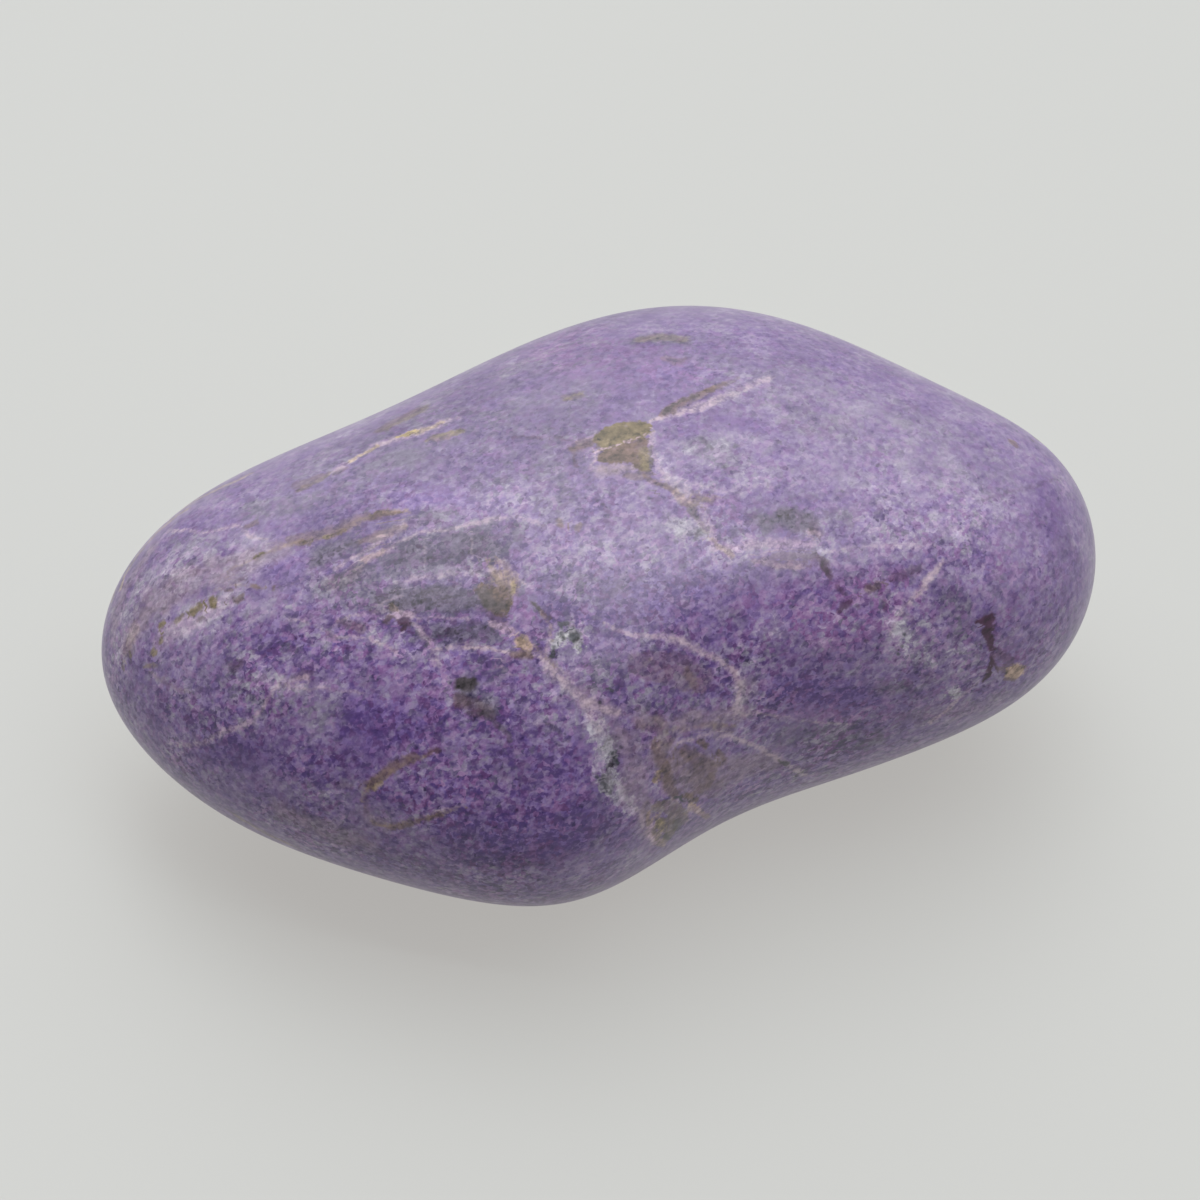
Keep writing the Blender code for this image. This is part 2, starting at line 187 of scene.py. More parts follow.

# Patches, dots and tones, written in the same way.
# painted highlight
# painted highlight band
# painted highlight streak across the grey patch
# painted light on the right front
# painted shade over the top
# the edge of the dark front: the darker marks here are painted shade along that edge
# the next four lines give the left end its pale, greyish look: partly paler stone, partly painted
# sheen
# the next seven lines paint shade: along the lower rim, on the front, over the upper middle, at
# the right end and on the lower right, in places over darker stone
# the next three lines paint shade over the upper middle and below the highlight band
# the next two lines paint highlight bands
# the next two lines paint light onto the upper right
# the next two lines paint shade near the lower edge
# the next two lines paint the highlight band across the stone
PATCHES = """
# the olive inclusion, its lower half and its tail
olive 1: 604,445,6 616,441,6 630,437,6 642,434,6 648,431,4
olive 1: 600,439,7 612,434,10.5 626,430,11 640,428,9 647,427,5
brown 0.9: 606,453,4 620,449,4.5 634,444,5 644,441,5
brown 0.9: 602,456,5 616,452,6 630,449,7 642,446,7
olive 0.9: 630,446,5 642,448,7 646,460,5 646,470,4
brown 0.95: 604,458,6 618,456,8.5 634,456,8.5 642,466,6
pink 0.5: 592,454,1 604,449,1.2 616,445,1.2 630,440,1.1
pink 0.5: 630,440,1.1 640,437,1 650,432,1.2
pinkgrey 1: 600,470,5 616,469,7 632,467,6
umber 0.5: 652,446,1.5 650,458,1.8 652,468,1.5
brown 0.5: 626,476,3 638,476,4 648,474,4
brown 0.65: 573,448,4 582,446,5 592,442,5
tan 0.35: 580,442,3 590,440,4
maroon 0.55: 573,452,2 575,459,2.5 576,466,2
brown 0.6: 646,477,3 653,482,3 661,485,3 665,488,2
bloom 0.5: 634,410,5 646,413,6 656,419,6
bloom 0.45: 656,434,6 658,452,8 660,470,9
# the streak up to the right
brown 0.7: 660,415,2.5 672,408,5 686,401,5.5 700,395,5 716,388,4
olive 0.4: 664,412,3 680,405,4 698,397,4
olive 0.3: 716,388,4 732,381,3 740,378,2
umber 0.7: 664,412,2.2 668,409,2.2
umber 0.7: 674,405,2.4 678,403,2
umber 0.6: 684,399,2.4 690,397,2.4 696,395,2
brown 0.45: 707,391,2.2 724,384,2
bloom 0.6: 680,415,5 700,408,6 720,400,7 744,390,7 768,380,6
bloom 0.35: 676,440,22 700,430,22 730,418,20
# the grey places at the very top
slate 0.8: 634,341,7 652,338,9 670,338,9 686,342,6
olive 0.4: 640,340,6 660,337,8 682,339,6
brown 0.35: 666,358,4 676,362,5 684,360,4
iris 0.5: 648,372,14 680,372,16 710,368,12
olive 0.65: 566,399,3 574,395,4 583,394,3.5
brown 0.4: 566,397,4 580,395,5
magenta 0.35: 560,340,40 600,360,40 680,366,30
slate 0.45: 700,446,12 722,452,16 734,464,12
slate 0.4: 792,424,14 816,420,20 840,424,12
slate 0.3: 540,452,12 530,470,12
# dots and dashes near the inclusion
brown 0.7: 559,521,4 561,526,3
brown 0.6: 580,525,3.5 578,530,2.5
maroon 0.5: 603,504,2.6
maroon 0.4: 513,437,2 526,437,2.2 540,439,2
maroon 0.35: 556,438,2 566,440,2
speck 0.5: 650,498,2.5
speck 0.4: 527,478,2
speck 0.4: 702,440,3 712,448,3
speck 0.4: 724,466,3
speck 0.4: 736,446,3
speck 0.45: 779,442,2.5
speck 0.5: 877,465,2
speck 0.4: 842,491,2.2
speck 0.45: 884,498,2
speck 0.4: 856,439,2
bloom 0.35: 882,456,6 892,460,7
# right and below the inclusion
brown 0.5: 664,484,3 672,490,3
tan 0.5: 676,494,4 684,500,5 690,504,4
olive 0.5: 682,503,4 692,506,4
olive 0.35: 698,498,4 712,500,4
olive 0.35: 694,512,4 700,522,4 706,530,3
tan 0.45: 712,540,3 722,549,3 732,556,3
bloom 0.3: 688,494,4 706,492,5 728,490,6 750,487,6 770,484,4
bloom 0.3: 730,472,12 760,476,14 796,482,12
bloom 0.6: 666,524,12 684,530,14 704,536,12
pale_green 0.35: 676,524,8 690,529,10 704,535,8
speck 0.5: 690,510,2.5 697,517,2
speck 0.5: 702,532,2.5 694,541,2
magenta 0.3: 724,514,16 744,510,14
slate 0.95: 757,518,6 766,523,8 774,518,6
slate 1: 785,517,7 795,519,10 808,521,8
grey 0.8: 784,515,8 796,519,10 808,521,8
grey 0.55: 757,520,6 767,524,8
maroon 0.35: 812,524,3 818,529,4 822,534,3
pink 0.35: 808,531,3 818,535,3
slate 0.5: 830,518,7 846,516,8
pink 0.3: 712,549,3 736,547,4 762,544,5 790,543,5 812,545,4
bloom 0.55: 700,548,8 740,547,9 790,546,9 824,549,6
brown 0.35: 768,558,3 784,556,4 800,556,4.5 814,557,4
tan 0.3: 754,562,3 776,565,4 800,566,4
maroon 0.75: 816,556,3 822,562,4 828,570,4 831,577,3
maroon 0.4: 804,562,2.5 810,566,2.5
bloom 0.4: 836,552,9 868,556,10 900,556,10
bloom 0.45: 500,500,18 530,506,18 548,516,14
bloom 0.45: 526,562,12 560,558,16 600,556,16 640,556,14
bloom 0.3: 840,516,12 880,510,14 930,506,14 990,500,12
slate 0.3: 560,586,16 600,584,18
# the edge of the dark front
deep 0.5: 640,586,10 680,582,12 716,580,12 748,586,12
deep 0.5: 714,574,5 724,573,5
deep 0.4: 560,616,12 600,610,14 650,608,12
halo 0.6: 704,606,4 716,610,6 730,612,6 740,606,4
halo 0.5: 560,596,6 580,590,8 600,596,6
iris 0.5: 660,600,24 700,604,24
# top left edge
olive 0.5: 386,428,6 398,421,8 412,415,8 424,408,6
brown 0.45: 380,430,6 400,419,8 418,410,7
gold 0.9: 398,437,2.5 408,434,3.5 416,431,3
gold 0.4: 418,432,3 430,428,3 442,422,2.5
gold 0.45: 350,461,2.5 362,454,3 376,447,3
olive 0.7: 428,440,3 438,437,5 450,434,5 462,431,3
brown 0.5: 430,439,4 448,436,5
brown 0.65: 298,490,3 305,486,5 311,484,4
olive 0.5: 300,489,4 316,481,5 328,475,4
brown 0.45: 317,479,4 325,475,3
brown 0.35: 338,472,4 346,468,4
gold 0.45: 112,600,3 120,574,3 134,553,3.5 152,532,4 172,515,4
gold 0.35: 172,515,4 196,500,4 222,487,4 250,474,3
pinkgrey 0.4: 112,640,8 118,606,9 130,580,10 150,552,11
slate 0.6: 342,482,10 364,468,14 392,460,14 424,454,12
slate 0.5: 250,510,14 290,506,14 330,494,12
slate 0.35: 170,545,12 200,540,14 230,545,10
brown 0.5: 247,526,4 256,523,4
slate 0.4: 446,416,8 466,412,10 486,416,8
# dots and dashes on the left
olive 0.95: 213,600,5 215,605,4.5
olive 0.85: 194,612,5 199,607,4.5
olive 0.6: 176,621,3.5 182,617,3.5
olive 0.8: 161,625,3 164,622,2.5
olive 0.7: 160,641,2.5 162,637,2
olive 0.85: 153,653,3.8 155,649,3
olive 0.65: 130,653,3 131,658,2.5
olive 0.5: 123,668,3.5
olive 0.5: 145,666,2.5 157,665,2.5
brown 0.7: 236,600,3.5 242,597,3
brown 0.55: 226,591,2.5 232,590,2.5
brown 0.6: 252,587,2.5 258,588,2.5
brown 0.45: 200,620,2.5 206,618,2
maroon 0.5: 245,578,2.5 240,580,2
maroon 0.45: 232,667,5 240,664,5
maroon 0.4: 292,677,3 302,674,4 312,672,3
pink 0.4: 296,680,3 308,677,3
brown 0.5: 296,542,4 310,541,3
brown 0.7: 326,538,3 336,532,5 346,527,5
brown 0.9: 359,521,3 370,517,4 382,514,4 394,512,3 401,512,2
maroon 0.35: 372,519,3 390,516,3
olive 0.4: 372,540,4 382,535,5 392,530,4
brown 0.5: 362,541,4 374,537,5 388,531,5
tan 0.4: 362,560,3 372,556,4 382,551,3
brown 0.6: 274,588,3 279,587,2
brown 0.9: 300,543,2.4 305,541,2.2
olive 0.9: 324,538,2.4 328,536,2.2
brown 0.8: 340,534,2.6 344,530,2.4
maroon 0.5: 370,519,2.4 377,516,2.2
brown 0.9: 388,514,2.4 394,512,2.2
olive 0.8: 256,557,2.2 262,553,2.2
grey 0.5: 314,562,7 326,556,9 340,549,8 352,543,6
slate 0.8: 314,562,10 332,552,12 352,542,10
slate 0.8: 412,522,7 426,518,9 440,516,8 452,512,6
grey 0.4: 418,522,5 434,518,6
iris 0.9: 404,500,12 430,496,14 456,494,12
bloom 0.45: 252,578,7 262,570,8 284,566,8 300,560,7
iris 1: 270,572,8 290,564,8 312,562,8 340,560,6
deep 0.8: 272,572,4 279,570,4
magenta 0.35: 284,566,7 300,560,7
pink 0.25: 160,640,10 176,628,10 206,612,8 230,600,7
pinkgrey 0.3: 124,640,12 140,624,12 160,608,10
tan 0.3: 126,650,8 134,630,8
deep 0.5: 296,616,8 330,620,12 352,632,10
dim 0.5: 470,470,30 500,420,40 560,390,50 640,360,50 720,350,30
dim 0.7: 330,520,30 380,540,40 450,570,40 500,560,20
dim 0.4: 560,600,30 620,600,30 700,600,24
slate 0.2: 720,380,40 800,390,50 900,430,50 980,470,40
slate 0.3: 280,480,20 350,450,30 430,410,30 500,380,30 580,350,30
bloom 0.9: 690,470,30 740,460,40
bloom 0.6: 800,450,50 860,440,60 940,500,50
bloom 0.3: 760,400,40 840,400,50 920,450,50 1000,510,40
bloom 1.25: 116,650,16 130,620,24 156,584,34 200,560,40 246,560,30
pinkgrey 0.5: 130,640,14 150,606,18 190,580,20 236,566,16 280,552,8
slate 0.2: 130,610,16 150,580,24 190,556,30
bloom 1.3: 180,620,20 220,610,24 260,606,20 290,598,10
bloom 0.35: 330,636,24 366,640,20
pinkgrey 0.5: 664,752,14 690,776,22 730,772,20 770,760,14
brown 0.25: 676,756,10 692,776,12 716,790,12
brown 0.7: 699,741,3 706,746,3
brown 0.6: 718,752,3 724,760,3.5
brown 0.7: 686,795,3 696,801,3
tan 0.7: 690,804,2.2 698,807,2.2
bloom 0.7: 880,616,20 916,636,24 900,660,16
bloom 0.4: 280,694,20 320,700,20
deep 0.5: 262,640,14 310,644,18 350,652,14 390,664,12
# the grey translucent patch
slate 1: 322,588,10 344,584,14 366,578,14
dim 0.6: 440,850,14 500,856,20 560,850,20 600,830,20
dim 0.3: 760,780,8 820,762,10 880,740,10
olive 0.2: 330,584,8 348,578,8 360,566,6
slate 1: 396,560,16 420,554,20 446,548,22 472,546,22 496,546,18
slate 0.7: 496,546,18 512,540,12 506,526,10 480,530,12
grey 0.35: 404,558,10 430,550,14 462,546,14 490,548,12
grey 0.5: 474,542,4 480,548,6 484,554,5
iris 0.5: 500,540,8 512,552,10 510,566,8
milk 0.5: 398,574,5 424,573,6 452,570,6 480,568,6 500,566,5
grey 0.75: 380,600,7 404,600,10 430,600,12 458,600,11 474,600,8
slate 1: 360,600,10 400,600,14 440,602,14 476,602,12
deep 0.5: 404,604,10 440,606,12 470,606,10
slate 0.9: 418,632,10 440,634,12 466,634,12 492,636,9
deep 0.9: 424,632,10 450,634,11 480,633,10 500,634,6
grey 0.4: 440,632,8 470,630,8 490,634,6
grey 0.6: 784,521,8 796,523,9 806,527,6
# its golden brown end
brown 0.95: 482,590,7 492,600,10 500,606,10 506,600,8
umber 0.7: 482,594,6 489,602,8 496,608,7 502,606,5
brown 0.8: 494,588,4 502,592,6 507,594,5
tan 0.4: 492,568,3 500,576,4 507,584,4 513,590,3
tan 0.3: 502,562,3 511,572,4 517,582,4
brown 0.4: 496,578,8 508,586,9 512,592,7
dim 0.55: 400,560,20 440,560,24 480,556,20
gold 0.5: 512,585,2.5 515,589,3 512,593,2.5
milk 0.4: 498,560,5 508,566,5 516,574,4
maroon 0.5: 490,614,5 500,618,5
deep 0.6: 478,610,6 492,617,7 502,619,5
magenta 0.7: 516,604,7 526,614,10 534,628,9
bloom 0.35: 516,606,6 526,620,7 530,632,6
magenta 0.5: 508,634,6 520,632,6
gold 0.5: 522,638,4 526,641,3
tan 0.9: 518,640,4 524,642,5 528,646,4
brown 0.7: 514,654,4 522,654,5 530,656,4
pink 0.55: 492,624,3 502,627,4 512,630,3
deep 0.8: 470,662,10 490,664,13 508,664,10
slate 0.5: 476,668,12 498,670,14
magenta 0.5: 446,668,6 450,682,6 450,700,5
iris 0.6: 458,658,5 464,664,5
umber 1: 460,684,6 466,685,8 472,683,6
slate 0.7: 474,700,12 488,706,12
brown 0.35: 460,700,8 476,708,9 490,714,7
grey 0.4: 462,700,8 478,708,9 490,712,7
umber 0.5: 470,712,3 484,715,3.5 494,722,3 504,731,3 510,740,3
maroon 0.4: 474,713,4 482,716,4
deep 0.5: 460,714,7 472,722,8 486,728,7
# what the front holds left of the junction
maroon 0.8: 400,621,4 405,617,4 407,625,3.5 403,630,2.5
pink 0.45: 394,612,4 402,616,4 410,614,3
brown 0.6: 392,618,4 386,621,4
brown 0.4: 354,626,5 362,628,5 340,622,4
tan 0.5: 396,611,4 392,608,3
maroon 0.35: 328,636,3 336,638,3
# dark green specks by the junction
milk 0.8: 560,640,10 570,630,10 582,632,9
pale_green 0.6: 558,642,6 570,632,7 578,642,6
speck 0.85: 562,625,3 566,624,3.5
speck 0.85: 573,637,4 577,635,3.5
speck 0.8: 553,647,2.5 555,651,2.5
speck 0.6: 560,634,2 563,640,2
umber 0.8: 533,603,2.5 537,607,2.5
maroon 0.6: 544,612,2 550,618,2
maroon 0.5: 810,531,3 818,535,3.5
brown 0.45: 290,539,5 312,536,6 334,531,7 350,524,7 366,517,6
tan 0.4: 372,538,5 390,533,5 404,527,4
brown 0.4: 296,485,5 308,482,6 318,477,5
bloom 0.3: 690,460,20 710,480,20
deep 0.4: 390,716,14 412,726,16
speck 0.8: 552,657,2.5
speck 0.7: 609,688,2.5 612,690,2
speck 0.6: 599,702,2.5
speck 0.5: 586,666,2
# the pale brownish band below, its fringe and what it holds
pinkgrey 0.55: 586,700,5 600,708,7 617,713,9 640,719,9 666,722,10
pinkgrey 0.6: 666,722,10 692,720,9 718,718,8 738,712,8
olive 0.35: 656,720,6 664,732,8 666,746,8
olive 0.3: 716,728,5 732,730,5
brown 0.35: 640,724,6 664,728,6
pinkgrey 0.45: 616,720,10 626,744,14 634,772,14 634,800,12
pinkgrey 0.4: 738,716,8 746,700,7 744,684,6
milk 0.8: 738,680,5 742,696,6 736,710,5
milk 1: 592,718,6 597,730,8 604,742,8 604,756,8 598,768,6
milk 0.9: 600,770,7 612,784,8 622,798,8 632,812,7
pale_green 0.5: 606,750,7 612,762,8 606,784,8
grey 0.35: 612,742,8 614,760,8 608,784,8
speck 0.7: 611,754,2.2
speck 0.8: 616,761,3 617,764,2.5
speck 0.6: 610,766,2
speck 0.5: 604,774,1.8
speck 0.6: 603,784,2.4 606,786,2
speck 0.5: 610,791,2
speck 0.7: 597,776,2.5
speck 0.5: 620,748,2
pinkgrey 0.45: 660,752,14 686,766,18 706,770,14 690,792,12
brown 0.65: 654,744,5 660,757,7 666,770,7 668,784,7 676,794,5
brown 0.5: 684,750,6 700,760,8 714,768,6 708,784,7 690,796,5
deep 0.7: 684,750,8 698,760,10 704,776,8
tan 0.8: 656,778,3.5 661,771,4 665,764,3
tan 0.6: 706,764,4 711,768,4
gold 0.35: 662,740,4 656,752,4
tan 0.5: 690,806,4 700,812,4 708,818,3
speck 0.8: 676,796,1.8 682,800,2 688,802,1.8
olive 0.45: 656,806,6 668,806,9 680,814,8 684,822,6
olive 0.55: 660,822,8 672,828,10 668,838,7
pinkgrey 0.7: 648,808,6 650,824,7 660,840,6
gold 0.4: 658,816,3 662,826,4 660,836,3
tan 0.55: 648,814,3 650,826,3.5 655,840,3.5 664,846,3
speck 0.5: 676,822,5 679,828,4
speck 0.6: 664,836,3 670,838,3
pink 0.6: 650,826,4 652,834,4 656,843,3
pinkgrey 0.6: 644,806,8 646,824,8
speck 0.7: 780,760,2.5 787,764,3
speck 0.5: 797,775,2.5 803,772,2
pale_green 0.5: 796,772,4 806,774,4
brown 0.3: 640,664,12 672,668,18 700,680,14
brown 0.4: 686,672,5 694,684,5
iris 0.5: 716,680,10 728,692,8
milk 0.35: 568,650,8 590,662,10 604,672,8
slate 0.6: 790,736,16 830,738,20 870,740,16
slate 0.4: 600,670,14 640,700,14 690,708,12
# right side
maroon 0.45: 892,578,4 902,575,5 912,571,5 920,567,3
brown 0.45: 896,577,4 912,570,4
olive 0.5: 870,588,5 878,587,5
maroon 0.5: 871,587,3 876,590,2.5
maroon 0.6: 850,602,3.5 844,606,4 840,612,3
maroon 0.45: 838,588,3 844,592,2.5
maroon 0.4: 884,601,3 886,608,3
maroon 0.4: 858,607,2.5
speck 0.4: 792,608,2.5
magenta 0.85: 832,586,12 856,592,18 884,590,16 910,584,10
magenta 0.8: 806,620,20 846,632,24 884,610,18 914,592,8
bloom 0.45: 770,626,16 820,628,22 866,616,18 900,600,12
iris 0.6: 760,610,20 800,604,20 830,600,16
magenta 0.5: 750,600,14 780,596,16
magenta 0.4: 1000,560,16 1020,590,18 1004,616,14
slate 0.5: 944,592,12 960,610,14 962,630,10
milk 0.8: 896,624,7 902,632,8 904,644,6
milk 0.6: 926,660,5 932,666,6
milk 0.6: 950,690,5 956,694,5
pale_green 0.6: 954,692,4 957,697,3.5
bloom 0.35: 920,640,14 944,660,14 966,662,12
speck 0.7: 904,635,2.2
speck 0.6: 903,645,2
speck 0.7: 897,654,2.2
speck 0.5: 866,642,2.5
speck 0.5: 948,636,2
speck 0.5: 980,646,1.8 981,650,1.5
maroon 1: 977,621,2.5 984,619,4 990,619,5.5 990,626,5.5 986,631,4.5
maroon 1: 986,631,4.5 989,638,4.5 991,644,3.5 992,652,2 992,660,2.4
maroon 0.9: 992,660,2.4 990,668,2.6 988,675,3.2 984,681,2.5
maroon 0.5: 998,652,5 1006,658,5 1012,662,3
magenta 0.8: 998,648,8 1008,656,9 1018,660,6
brown 0.5: 1002,668,4 1008,672,4
tan 1.3: 1012,671,8.2 1018,673,8.2
gold 0.35: 1014,672,4
brown 0.6: 1006,679,2.5 1014,680,2.5
brown 0.7: 1012,442,3.8 1016,445,3.8
brown 0.45: 1033,441,3
deep 0.9: 778,688,14 806,692,16 836,694,15 868,696,12
iris 1: 778,688,18 806,694,20 840,696,20 870,700,14
slate 0.7: 876,690,7 890,688,9 904,686,7
deep 0.4: 762,656,10 790,660,12 820,664,12
magenta 0.5: 780,706,14 820,712,14 880,712,14
pinkgrey 0.25: 908,716,10 950,712,12 1000,700,10
# the front of the lobe and the low left
deep 0.9: 450,820,24 490,834,30 540,840,34 590,820,26
deep 0.5: 420,790,16 470,800,20 520,806,20
deep 0.8: 216,752,12 250,758,18 300,764,20 350,764,18 376,750,14
deep 0.5: 170,716,10 186,714,12 198,718,10
deep 1.1: 356,716,18 390,726,22 430,720,18
dim 0.6: 300,812,14 380,852,16 470,886,18 560,896,20 630,876,14
dim 0.4: 590,680,16 610,684,16
dim 0.6: 540,390,20 580,390,30 640,350,30
dim 0.5: 1066,540,14 1074,570,16
dim 0.4: 800,764,14 840,750,14 900,700,24
dim 0.6: 440,626,20 470,620,20
dim 0.3: 500,750,20 520,760,20
bloom 0.35: 280,786,16 316,794,16
bloom 0.55: 880,530,20 920,530,20
dim 0.25: 320,480,30 400,450,50 480,460,50 560,400,40 560,480,30
slate 0.25: 320,480,30 400,450,50 480,460,50 560,400,40 560,490,30
deep 0.4: 290,640,18 300,662,12
deep 0.9: 380,798,7 392,802,8 402,806,6
iris 0.4: 330,700,24 380,730,30 420,780,26 460,790,20
iris 0.6: 560,780,24 560,830,30 500,840,26
magenta 0.7: 402,800,6 412,804,7 424,806,6
magenta 0.4: 440,780,16 480,770,14
magenta 0.4: 350,640,16 400,680,18 440,700,14
magenta 0.4: 560,800,16 540,860,16 500,870,12
slate 0.6: 232,680,14 252,690,16 262,704,12
bloom 0.4: 236,682,10 254,692,12
slate 0.5: 280,706,12 306,710,16 338,712,14
bloom 0.4: 284,704,10 310,710,12 336,712,10
bloom 0.3: 236,626,12 262,622,12
pinkgrey 0.4: 276,806,12 310,824,14 344,838,12 372,846,8
bloom 0.3: 290,820,14 330,838,14
olive 0.35: 228,810,3 250,824,4 276,838,4 302,850,3
gold 0.3: 236,816,3 262,832,3 290,845,3
maroon 0.35: 338,785,4 350,787,4
maroon 0.6: 430,752,3 437,750,3
maroon 0.35: 366,800,3 366,810,3
brown 0.6: 414,757,4 402,762,6 392,768,6 380,776,5 370,786,5
tan 0.4: 404,758,4 398,766,4
gold 0.4: 382,782,3 374,788,3
brown 0.6: 440,815,2.5 424,820,3 404,826,3 388,828,3
pinkgrey 0.5: 380,824,4 370,820,4 366,812,3
milk 0.3: 540,716,6 556,700,8 574,716,8
speck 0.4: 548,724,2 560,732,2
speck 0.35: 556,744,2 570,738,2
"""


# Places on the stone

# How a point that misses the stone is drawn in towards the photo's middle.
INWARD_STEP = 0.01
INWARD_TRIES = 30


def photo_ray(x, y):
    """The direction in which the camera sees this place in the photo."""
    across = (x - PHOTO_SIDE / 2) * PIXEL
    upward = (PHOTO_SIDE / 2 - y) * PIXEL
    return (CAMERA_AIM + Vector((across, 0, 0)) + IMAGE_UP * upward - EYE).normalized()


def seen_at(target, x, y):
    """The place on the stone that shows here in the photo, or the nearest further in."""
    for _ in range(INWARD_TRIES):
        hit = target.ray_cast(EYE, photo_ray(x, y))[0]
        if hit is not None:
            return hit
        x += (PHOTO_SIDE / 2 - x) * INWARD_STEP
        y += (PHOTO_SIDE / 2 - y) * INWARD_STEP
    return None


def points_along(path, step):
    """The path with more points on it, so that they are no more than step apart."""
    points = []
    for (x0, y0, w0), (x1, y1, w1) in zip(path, path[1:]):
        count = max(1, math.ceil(math.hypot(x1 - x0, y1 - y0) / step))
        for i in range(count):
            share = i / count
            points.append((x0 + (x1 - x0) * share, y0 + (y1 - y0) * share, w0 + (w1 - w0) * share))
    points.append(path[-1])
    return points


def on_stone(target, path, step):
    """A photo path as places on the stone in metres, each with its half width in millimetres."""
    placed = []
    for x, y, half in points_along(path, step):
        place = seen_at(target, x, y)
        if place is not None:
            placed.append((place, half * PIXEL / MM))
    return placed


def add_object(name, data):
    made = bpy.data.objects.new(name, data)
    bpy.context.scene.collection.objects.link(made)
    return made


def add_shape(name, shape):
    """A new object in the scene made of this bmesh, which is freed."""
    mesh = bpy.data.meshes.new(name)
    shape.to_mesh(mesh)
    shape.free()
    return add_object(name, mesh)


# The stone's skin


def smooth_target(node):
    """The CAD solid rounded further, as a tree that rays can be shot at."""
    solid = bmesh.new()
    solid.from_mesh(node.data)
    bmesh.ops.remove_doubles(solid, verts=solid.verts, dist=1e-6)
    bmesh.ops.join_triangles(
        solid, faces=solid.faces, angle_face_threshold=0.7, angle_shape_threshold=1.2
    )
    target = add_shape("target", solid)
    rounding = target.modifiers.new("rounding", "SUBSURF")
    rounding.levels = 3
    bpy.context.view_layer.update()
    rounded = target.evaluated_get(bpy.context.evaluated_depsgraph_get()).to_mesh()
    tree = BVHTree.FromPolygons(
        [v.co for v in rounded.vertices], [p.vertices for p in rounded.polygons]
    )
    bpy.data.objects.remove(target)
    return tree


def build_skin(target):
    """A ball of even cells, each corner carried out from inside the stone to its surface."""
    low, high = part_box("stone")
    half = (high - low) / 2
    middle = (low + high) / 2 + Vector([TO_CAMERA[a] * half[a] * SKIN_LEAN for a in range(3)])
    ball = bmesh.new()
    bmesh.ops.create_cube(ball, size=2.0)
    bmesh.ops.subdivide_edges(ball, edges=ball.edges[:], cuts=SKIN_CELLS - 1, use_grid_fill=True)
    for vert in ball.verts:
        facing = Vector([math.tan(c * math.pi / 4) for c in vert.co]).normalized()
        ray = Vector([facing[axis] * half[axis] for axis in range(3)])
        vert.co = target.ray_cast(middle, ray.normalized())[0]
    bmesh.ops.smooth_vert(
        ball, verts=ball.verts, factor=0.5, use_axis_x=True, use_axis_y=True, use_axis_z=True
    )
    skin = add_shape("stone_skin", ball)
    skin.data.shade_smooth()
    return skin


# The markings, kept on the skin's corners


class Markings:
    """What each corner of the skin knows of the tones, patches and strokes round it."""

    def __init__(self, mesh):
        self.mesh = mesh
        self.count = len(mesh.vertices)
        self.tree = kdtree.KDTree(self.count)
        for i, vert in enumerate(mesh.vertices):
            self.tree.insert(vert.co, i)
        self.tree.balance()
        self.tones = {name: np.zeros(self.count) for name in SOFTNESS}
        self.patches = {}
        self.strokes = {}

    def add(self, family, strength, placed):
        """Keeps a marking in the way that suits its family and width."""
        if family in SOFTNESS:
            self.add_tone(family, strength, placed)
        elif family not in NEVER_FINE and max(half for _, half in placed) < FINE * PIXEL / MM:
            tiny = max(half for _, half in placed) < TINY * PIXEL / MM
            layer = "dot" if tiny else "blob"
            self.add_stroke(layer, PATCH_TONES[family], strength, placed)
        else:
            self.add_patch(family, strength, placed)

    def add_vein(self, family, strength, placed):
        self.add_stroke("vein", VEIN_TONES[family], strength, placed)
        if family == "pale":
            self.add_patch("halo", strength * 0.5, [(p, half + HALO) for p, half in placed])

    def add_tone(self, family, strength, placed):
        field = self.tones[family]
        soft = SOFTNESS[family]
        for place, half in placed:
            for _, i, far in self.tree.find_range(place, (half + soft) * MM):
                share = min(1.0, (half - far / MM + soft) / (2 * soft))
                field[i] = max(field[i], strength * share * share * (3 - 2 * share))

    def add_patch(self, family, strength, placed):
        if family not in self.patches:
            blank = np.zeros((self.count, 3))
            blank[:, 0] = -REACH
            self.patches[family] = blank
        field = self.patches[family]
        for place, half in placed:
            for _, i, far in self.tree.find_range(place, (half + REACH / 2) * MM):
                inside = half - far / MM
                if inside > field[i, 0]:
                    field[i, 0] = inside
                    field[i, 1] = strength

    def add_stroke(self, layer, tone, strength, placed):
        if layer not in self.strokes:
            blank = np.zeros((3, self.count, 3))
            blank[:2] = FAR_OFF
            self.strokes[layer] = blank
        offset, about, tones = self.strokes[layer]
        for place, half in placed:
            for near, i, far in self.tree.find_range(place, STROKE_REACH * MM):
                outside = far / MM - half
                if outside < about[i, 0]:
                    about[i] = (outside, half, strength)
                    offset[i] = (place - near) / MM
                    tones[i] = tone

    def write(self):
        fields = {"patch_" + name: field for name, field in self.patches.items()}
        for layer, names in enumerate(TONE_LAYERS):
            fields["tones_%d" % layer] = np.stack([self.tones[name] for name in names], axis=1)
        for layer, parts in self.strokes.items():
            for name, field in zip(("offset", "about", "tone"), parts):
                fields[layer + "_" + name] = field
        for name, field in fields.items():
            layer = self.mesh.attributes.new(name, "FLOAT_VECTOR", "POINT")
            layer.data.foreach_set("vector", field.ravel())


